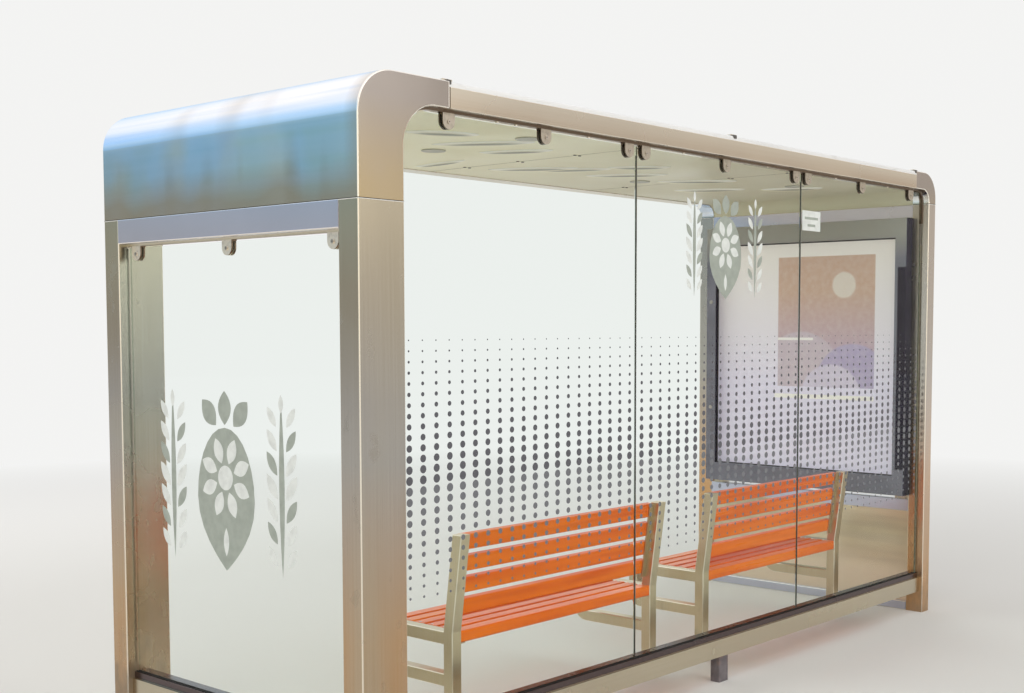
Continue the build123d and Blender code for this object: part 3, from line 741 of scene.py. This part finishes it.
clamp_drop = 0.030
clamps_low, clamps_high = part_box("rear_clamps")
for clamp_x in (1.638, 1.1315, 0.625, 0.515, -0.0735, -0.662, -0.772, -1.3115, -1.851):
    bolt((clamp_x, clamps_high.y, clamps_high.z - clamp_drop), "Y")
    bolt((clamp_x, clamps_low.y, clamps_high.z - clamp_drop), "-Y")
end_clamps_low, end_clamps_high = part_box("right_clamps")
clamp_half_width = 0.029
clamp_reach = end_clamps_high.y - clamp_half_width
for clamp_y in (-clamp_reach, 0.0, clamp_reach):
    bolt((end_clamps_high.x, clamp_y, end_clamps_high.z - clamp_drop), "X")
    bolt((end_clamps_low.x, clamp_y, end_clamps_high.z - clamp_drop), "-X")
hanger_low, hanger_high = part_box("rear_hanger")
strip_thickness = 0.008
for bolt_x in (1.385, 1.285, 0.87, 0.24, -0.42, -1.05, -1.60):
    bolt((bolt_x, (hanger_low.y + hanger_high.y) / 2, hanger_high.z - strip_thickness), "-Z")
finished(bolts, "clamp_bolts", bolt_steel)
finished(sockets, "clamp_bolt_sockets", black_rubber)


# Glass: clear toughened panes, slightly green and greener at their cut edges, with narrow
# strips of dark silicone in the gaps between the three rear panes and olive ones at their ends.
def clear_glass(name, edge_axis):
    """Clear glass whose edges are green, and that lets the lamps through."""
    material, tree, glass = shader(name)
    edge = ramp(tree, facing(tree, edge_axis), 0.9, 0.5)
    tone = mixed(tree, edge, (0.93, 0.97, 0.95), (0.62, 0.74, 0.67))
    tree.links.new(tone, glass.inputs["Base Color"])
    glass.inputs["Roughness"].default_value = 0.0
    glass.inputs["IOR"].default_value = 1.12
    glass.inputs["Transmission Weight"].default_value = 1.0
    open_way = add_node(tree, "BsdfTransparent", {"Color": (0.90, 0.96, 0.93, 1)})
    is_shadow = add_node(tree, "LightPath").outputs["Is Shadow Ray"]
    mix = add_node(tree, "MixShader", {0: is_shadow, 1: glass.outputs[0], 2: open_way.outputs[0]})
    tree.links.new(mix.outputs[0], tree.nodes["Material Output"].inputs["Surface"])
    return material


rear_panes = ("rear_glass_right", "rear_glass_middle", "rear_glass_left")
dress(clear_glass("rear_glass", "Y"), *rear_panes)
dress(clear_glass("end_glass", "X"), "right_glass", "case_inner_glass", "case_outer_glass")

seal_clearance, seal_outer, seal_inner, seal_top = 0.0008, 0.0005, 0.0075, 0.012
seals = bmesh.new()
for nearer, further in zip(rear_panes, rear_panes[1:]):
    start_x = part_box(further)[1].x + seal_clearance
    end_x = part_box(nearer)[0].x - seal_clearance
    block(
        seals,
        (start_x, glass_high.y - seal_inner, rail_high.z),
        (end_x, glass_high.y - seal_outer, clamps_low.z + seal_top),
    )
seal_grey = rubber("seal_grey", (0.055, 0.05, 0.04), roughness=0.4)
finished(seals, "pane_seals", seal_grey)

strip_clearance, strip_inset, strip_top = 0.0005, 0.001, 2.05
edge_strips = bmesh.new()
for start_x, end_x in (
    (rail_low.x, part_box("rear_glass_left")[0].x),
    (glass_high.x, rail_high.x),
):
    block(
        edge_strips,
        (start_x + strip_clearance, glass_low.y + strip_inset, rail_high.z),
        (end_x - strip_clearance, glass_high.y - strip_inset, strip_top),
    )
strip_olive = rubber("strip_olive", (0.20, 0.185, 0.13), roughness=0.45)
finished(edge_strips, "pane_edge_strips", strip_olive)


# Printed dots: a band of grey enamel dots fired on the rear panes at sitting height, largest in
# the middle of the band and fading out above and below. The rows from the middle up are darker and
# those below paler: painted shade and painted light.
dot_pitch_x, dot_pitch_z = 0.064, 0.037
columns, rows = 20, 26
top_row_height, lowest_row = 1.555, 0.63
band_middle, band_up, band_down = 1.06, 0.60, 0.57
largest_dot, smallest_dot = 0.016, 0.0009
side_margin = 0.02
print_thickness, glue_gap = 0.0004, 0.0001
dot_grey, tree, enamel = shader("dot_grey")
# Painted shade on the rows from the middle up and painted light on the rows below.
painted_shade_above = ramp(tree, along(tree, "Z"), band_middle - 0.008, band_middle)
speck = pattern(tree, (300.0, 300.0, 300.0), detail=2.0)
painted_shade_grey = mixed(tree, speck, (0.09, 0.09, 0.105), (0.13, 0.13, 0.15))
painted_light_grey = mixed(tree, speck, (0.15, 0.155, 0.17), (0.21, 0.215, 0.235))
tree.links.new(mixed(tree, painted_shade_above, painted_light_grey, painted_shade_grey), enamel.inputs["Base Color"])
enamel.inputs["Roughness"].default_value = 0.40
first_columns = (0.612 + (columns - 1) * dot_pitch_x, 0.531, -0.742)
for pane, first_x in zip(rear_panes, first_columns):
    pane_low, pane_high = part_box(pane)
    dot_y = pane_high.y + glue_gap + print_thickness / 2
    dots = bmesh.new()
    for column in range(columns):
        dot_x = first_x - column * dot_pitch_x
        inside = pane_low.x + side_margin < dot_x < pane_high.x - side_margin
        for row in range(rows):
            dot_z = top_row_height - row * dot_pitch_z
            away = (dot_z - band_middle) / (band_up if dot_z > band_middle else -band_down)
            radius = largest_dot * (1 - away)
            if inside and radius > smallest_dot and dot_z > lowest_row:
                disc(dots, (dot_x, dot_y, dot_z), radius, print_thickness, "Y", 14)
    finished(dots, pane.replace("glass", "dots"), dot_grey)


# Frosted ornaments: a flower on a broad hanging leaf between two leafy sprigs, cut from white
# and grey-green etched film, laid on the end pane and, smaller, high up on the middle rear pane.
def film(name, colour):
    """Etched vinyl film, matt, with a faint mottle."""
    material, tree, vinyl = shader(name)
    mottle = pattern(tree, (25.0, 25.0, 25.0), detail=5.0)
    worn = tuple(part * 0.86 for part in colour)
    tone = mixed(tree, ramp(tree, mottle, 0.4, 0.7), colour, worn)
    tree.links.new(tone, vinyl.inputs["Base Color"])
    tree.links.new(ramp(tree, mottle, 0.3, 0.7, 0.45, 0.65), vinyl.inputs["Roughness"])
    return material


film_thickness = 0.0003
white_film = film("white_film", (0.88, 0.91, 0.87))
green_film = film("green_film", (0.43, 0.47, 0.41))


def leaf(mesh, pane_place, at, length, width, turn, layer=0, pointed_from=-1.0):
    """Adds one flat leaf to the film on a pane, oval up to a share of its length, then pointed."""
    place = pane_place @ Matrix.Translation((*at, glue_gap + film_thickness * (layer + 0.5)))
    place = place @ Matrix.Rotation(turn, 4, "Z") @ Matrix.Diagonal((length / 2, width / 2, 1, 1))
    outline = bmesh.ops.create_cone(
        mesh, cap_ends=True, segments=28, radius1=1, radius2=1, depth=film_thickness
    )["verts"]
    for vert in outline:
        if vert.co.x > pointed_from:
            vert.co.y *= abs(vert.co.y)
    bmesh.ops.transform(mesh, matrix=place, verts=outline)


def flower(mesh, pane_place, middle, size):
    """Adds a round disc with eight petals, as a second layer of film."""
    leaf(mesh, pane_place, (0, middle), 0.26 * size, 0.26 * size, 0, 1, pointed_from=1.0)
    for petal in range(8):
        turn = petal * math.pi / 4 + math.pi / 8
        at = (0.30 * size * math.cos(turn), 0.30 * size * math.sin(turn) + middle)
        leaf(mesh, pane_place, at, 0.28 * size, 0.16 * size, turn, 1)


def sprig(white_mesh, green_mesh, pane_place, stem_x, width, height):
    """Adds an upright stem with seven pairs of leaves and a bud at its top."""
    upright = math.pi / 2
    leaf(green_mesh, pane_place, (stem_x, 0), 0.96 * height, 0.035 * width, upright)
    for pair in range(7):
        at_z = (0.38 - 0.125 * pair) * height
        size = (0.13 + 0.012 * min(pair, 6 - pair)) * height
        for lean in (-1, 1):
            film_mesh = green_mesh if (pair + (lean > 0)) % 3 == 2 else white_mesh
            at = (stem_x + lean * 0.062 * width, at_z)
            leaf(film_mesh, pane_place, at, size, 0.40 * size, upright - lean * 0.62, 1)
    bud_size = (0.10 * height, 0.04 * height)
    leaf(white_mesh, pane_place, (stem_x, 0.45 * height), *bud_size, upright, 1)


def ornament(name, pane_place, width, height):
    """A flower on one broad hanging leaf, under three small ones, with a sprig on each side."""
    upright = math.pi / 2
    white_mesh = bmesh.new()
    green_mesh = bmesh.new()
    broad = 0.40 * width
    at = (0, -0.10 * height)
    leaf(green_mesh, pane_place, at, 0.80 * height, broad, -upright, pointed_from=0.15)
    flower(white_mesh, pane_place, 0.02 * height, broad)
    leaf(white_mesh, pane_place, (0, -0.34 * height), 0.16 * height, 0.05 * height, upright, 1)
    for lean in (-1, 0, 1):
        at = (0.11 * width * lean, (0.41 - 0.03 * abs(lean)) * height)
        leaf(green_mesh, pane_place, at, 0.19 * height, 0.09 * width, upright - 0.75 * lean)
    for side in (-1, 1):
        sprig(white_mesh, green_mesh, pane_place, side * 0.38 * width, width, height)
    finished(white_mesh, name + "_white", white_film)
    finished(green_mesh, name + "_green", green_film)


end_pane_place = Matrix((
    (0, 0, 1, end_high.x),
    (1, 0, 0, -0.040),
    (0, 1, 0, 1.034),
    (0, 0, 0, 1),
))
rear_pane_place = Matrix((
    (-1, 0, 0, -0.077),
    (0, 0, 1, glass_high.y),
    (0, 1, 0, 1.953),
    (0, 0, 0, 1),
))
ornament("end_ornament", end_pane_place, 0.88, 0.66)
ornament("rear_ornament", rear_pane_place, 0.63, 0.46)


# Notice label: a small label of white film stuck high on the left rear pane, with two plain
# bars of grey-green film on it.
label_left, label_right = -0.900, -0.730
label_bottom, label_top = 2.064, 2.160
label_back = glass_high.y + glue_gap
label_face = label_back + film_thickness
bar_half_height = 0.006
label = bmesh.new()
block(label, (label_left, label_back, label_bottom), (label_right, label_face, label_top))
finished(label, "notice_label", white_film)
bars = bmesh.new()
for bar_z, bar_reach in ((2.124, 0.062), (2.090, 0.036)):
    bar_middle = (label_left + label_right) / 2
    block(
        bars,
        (bar_middle - bar_reach, label_face, bar_z - bar_half_height),
        (bar_middle + bar_reach, label_face + film_thickness, bar_z + bar_half_height),
    )
finished(bars, "notice_bars", green_film)


# Poster case: a slate grey painted steel box, its sides near black in painted shade, with a glazed
# door frame on each face, hinged at the rear edge and locked by two round locks at the front edge.
def case_finish(name, colour, painted_side_tone):
    """Satin slate paint on the faces, near black as painted shade on the sides and a stile strip,
    paler along the top.
    """
    material, tree, paint = shader(name)
    cloud = pattern(tree, (3.0, 3.0, 3.0), detail=5.0)
    speck = pattern(tree, (90.0, 90.0, 90.0), detail=3.0)
    height = along(tree, "Z")
    tone_shift = tuple(part * 1.35 + 0.01 for part in colour)
    tone = mixed(tree, ramp(tree, cloud, 0.42, 0.70), colour, tone_shift)
    # Paler along the top.
    tone = mixed(tree, ramp(tree, height, 1.98, 2.12, 0.0, 0.80), tone, (0.44, 0.43, 0.37))
    # Painted shade: near black, with little gloss, on a strip of the rear stile and on the faces
    # looking along the shelter.
    stile_shadow_strip = ramp(tree, along(tree, "Y"), 0.613, 0.619)
    stile_shadow_strip = joined(tree, stile_shadow_strip, between(tree, height, 0.80, 1.93, 0.004))
    shaded = joined(tree, stile_shadow_strip, ramp(tree, facing(tree, "Y"), 0.6, 0.9), "MAXIMUM")
    tone = mixed(tree, shaded, tone, painted_side_tone)
    tone = mixed(tree, ramp(tree, speck, 0.66, 0.76, 0.0, 0.3), tone, (0.30, 0.29, 0.27))
    tree.links.new(tone, paint.inputs["Base Color"])
    gloss = ramp(tree, shaded, 0.0, 1.0, 0.25, 0.03)
    tree.links.new(gloss, paint.inputs["Specular IOR Level"])
    tree.links.new(ramp(tree, cloud, 0.3, 0.7, 0.32, 0.48), paint.inputs["Roughness"])
    tree.links.new(bump(tree, speck, 0.04, 0.0006), paint.inputs["Normal"])
    return material


case_paint = case_finish("case_paint", (0.195, 0.195, 0.240), (0.008, 0.003, 0.018))
dress(case_paint, "case_inner_frame", "case_outer_frame", "case_body")
bracket_steel = brushed_stainless("bracket_steel", "Z", (0.62, 0.55, 0.42), roughness=0.40)
dress(bracket_steel, "case_brackets")

inner_low, inner_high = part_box("case_inner_frame")
outer_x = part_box("case_outer_frame")[0].x
hinge_radius, hinge_length, hinge_inset = 0.0055, 0.09, 0.16
hinge_sunk, hinge_from_edge = 0.006, 0.004
hinges = bmesh.new()
hinge_y = inner_high.y - hinge_from_edge
middle_z = (inner_low.z + inner_high.z) / 2
for hinge_z in (inner_low.z + hinge_inset, middle_z, inner_high.z - hinge_inset):
    for hinge_x in (inner_high.x - hinge_sunk, outer_x + hinge_sunk):
        disc(hinges, (hinge_x, hinge_y, hinge_z), hinge_radius, hinge_length)
finished(hinges, "case_hinges", case_paint)

lock_radius, lock_thickness, lock_inset = 0.011, 0.004, 0.45
lock_proud, lock_from_edge = 0.001, 0.034
locks = bmesh.new()
lock_y = inner_low.y + lock_from_edge
for lock_z in (inner_low.z + lock_inset, inner_high.z - lock_inset):
    for lock_x in (inner_high.x + lock_proud, outer_x - lock_proud):
        disc(locks, (lock_x, lock_y, lock_z), lock_radius, lock_thickness, "X", 24)
finished(locks, "case_locks", bolt_steel)

trim_width, trim_depth = 0.007, 0.003
pane_low, pane_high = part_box("case_inner_glass")
trims = bmesh.new()
for start_x in (pane_high.x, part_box("case_outer_glass")[0].x - trim_depth):
    for start_y, end_y, start_z, end_z in (
        (pane_low.y, pane_high.y, pane_low.z, pane_low.z + trim_width),
        (pane_low.y, pane_high.y, pane_high.z - trim_width, pane_high.z),
        (pane_low.y, pane_low.y + trim_width, pane_low.z, pane_high.z),
        (pane_high.y - trim_width, pane_high.y, pane_low.z, pane_high.z),
    ):
        block(trims, (start_x, start_y, start_z), (start_x + trim_depth, end_y, end_z))
finished(trims, "case_gaskets", black_rubber)


# Posters: translucent printed sheets, lit from behind, beige at the top and lilac below, with a
# generic picture of soft round hills and a disc, a pale bar across it and a pale line below.
def printed_sheet(name, middle, half):
    """The printed sheet, its picture centred on a place across the case."""
    material, tree, sheet = shader(name)
    across = along(tree, "Y")
    up = along(tree, "Z")
    paper = mixed(tree, ramp(tree, up, 1.25, 2.05), (0.70, 0.61, 0.74), (0.80, 0.70, 0.66))
    picture = mixed(tree, ramp(tree, up, 1.30, 1.80), (0.44, 0.32, 0.47), (0.53, 0.33, 0.25))
    place = add_node(tree, "CombineXYZ", {"Y": across, "Z": up}).outputs[0]
    for hill_y, hill_z, hill_radius, hill_colour in (
        (middle - 0.16, 1.30, 0.27, (0.52, 0.40, 0.46)),
        (middle + 0.18, 1.26, 0.24, (0.40, 0.31, 0.47)),
        (middle + 0.04, 1.18, 0.20, (0.58, 0.48, 0.60)),
        (middle + 0.12, 1.84, 0.075, (0.66, 0.54, 0.48)),
    ):
        hill_centre = (0, hill_y, hill_z)
        apart = add_node(tree, "VectorMath", {0: place, 1: hill_centre}, operation="DISTANCE")
        inside = ramp(tree, apart.outputs["Value"], hill_radius + 0.006, hill_radius - 0.006)
        picture = mixed(tree, inside, picture, hill_colour)
    grain = pattern(tree, (30.0, 30.0, 30.0), detail=5.0)
    picture = mixed(tree, ramp(tree, grain, 0.4, 0.8, 0.0, 0.25), picture, (0.70, 0.62, 0.60))
    tone = paper
    for start_y, end_y, start_z, end_z, ink in (
        (middle - half, middle + half, 1.245, 2.01, picture),
        (middle - half - 0.02, middle + half, 1.175, 1.200, (0.80, 0.71, 0.68)),
        (middle - half, middle - 0.08, 1.52, 1.535, (0.80, 0.71, 0.70)),
    ):
        within_y = between(tree, across, start_y, end_y)
        within_z = between(tree, up, start_z, end_z)
        tone = mixed(tree, joined(tree, within_y, within_z), tone, ink)
    tree.links.new(tone, sheet.inputs["Base Color"])
    tree.links.new(tone, sheet.inputs["Emission Color"])
    sheet.inputs["Emission Strength"].default_value = 0.42
    tree.links.new(ramp(tree, grain, 0.3, 0.7, 0.40, 0.55), sheet.inputs["Roughness"])
    return material


picture_offset, picture_half = 0.126, 0.318
dress(printed_sheet("inner_print", picture_offset, picture_half), "inner_poster")
dress(printed_sheet("outer_print", -picture_offset, picture_half), "outer_poster")


# End panel: a stainless sheet below the poster case, brushed across, with the soft darker
# bands that a hand finish leaves, paler near the ground in a painted reflection, and splashed with
# dirt there.
panel_steel, tree, steel = shader("panel_steel")
height = along(tree, "Z")
fine = pattern(tree, (300.0, 3.0, 300.0), detail=2.0)
bands = pattern(tree, (1.0, 0.5, 9.0), detail=3.0)
splash = pattern(tree, (14.0, 14.0, 10.0), detail=6.0)
tone = mixed(tree, ramp(tree, bands, 0.40, 0.60), (0.82, 0.69, 0.48), (0.63, 0.515, 0.36))
low_dirt = joined(tree, ramp(tree, height, 0.05, 0.28, 0.5, 0.0), splash, "ADD")
tone = mixed(tree, ramp(tree, low_dirt, 0.60, 0.95, 0.0, 0.20), tone, (0.34, 0.27, 0.20))
# Paler and warmer near the ground: a painted reflection.
tone = mixed(tree, ramp(tree, height, 0.42, 0.18, 0.0, 0.8), tone, (0.97, 0.79, 0.62))
tree.links.new(tone, steel.inputs["Base Color"])
tree.links.new(ramp(tree, bands, 0.3, 0.7, 0.28, 0.38), steel.inputs["Roughness"])
tree.links.new(bump(tree, fine, 0.02, 0.0003), steel.inputs["Normal"])
steel.inputs["Metallic"].default_value = 1.0
dress(panel_steel, "left_panel")


# Benches: end frames of satin stainless tube with flat bars, and hardwood slats between them,
# stained orange and varnished. A round bolt holds each end of each seat slat.
bench_steel = brushed_stainless(
    "bench_steel", "Z", (0.63, 0.515, 0.34), roughness=0.30, dirt_and_shade_height=0.20
)
slat_wood, tree, wood = shader("slat_wood")
grain = pattern(tree, (2.5, 60.0, 60.0), detail=5.0)
plank = pattern(tree, (0.7, 9.0, 9.0), detail=2.0)
pores = pattern(tree, (14.0, 260.0, 260.0), detail=2.0)
tone = mixed(tree, ramp(tree, grain, 0.35, 0.65), (0.93, 0.165, 0.001), (0.76, 0.105, 0.001))
tone = mixed(tree, ramp(tree, plank, 0.4, 0.7, 0.0, 0.6), tone, (0.98, 0.26, 0.003))
tone = mixed(tree, ramp(tree, pores, 0.62, 0.72, 0.0, 0.35), tone, (0.45, 0.045, 0.001))
tree.links.new(tone, wood.inputs["Base Color"])
tree.links.new(ramp(tree, grain, 0.3, 0.7, 0.26, 0.38), wood.inputs["Roughness"])
tree.links.new(bump(tree, grain, 0.08, 0.0008), wood.inputs["Normal"])
wood.inputs["Specular IOR Level"].default_value = 0.2
wood.inputs["Coat Weight"].default_value = 0.2
wood.inputs["Coat Roughness"].default_value = 0.10

seat_slats = 6
slat_bolt_radius, slat_bolt_height, slat_bolt_inset = 0.006, 0.0024, 0.012
middle_of_slat = 0.47
slat_bolts = bmesh.new()
for bench in ("right_bench", "left_bench"):
    dress(bench_steel, bench + "_right_frame", bench + "_left_frame")
    dress(slat_wood, bench + "_seat", bench + "_back")
    seat_low, seat_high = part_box(bench + "_seat")
    pitch = (seat_high.y - seat_low.y) / seat_slats
    for bolt_x in (seat_low.x + slat_bolt_inset, seat_high.x - slat_bolt_inset):
        for slat in range(seat_slats):
            bolt_centre = (bolt_x, seat_low.y + pitch * (slat + middle_of_slat), seat_high.z)
            disc(slat_bolts, bolt_centre, slat_bolt_radius, slat_bolt_height, segments=14)
finished(slat_bolts, "slat_bolts", bolt_steel)
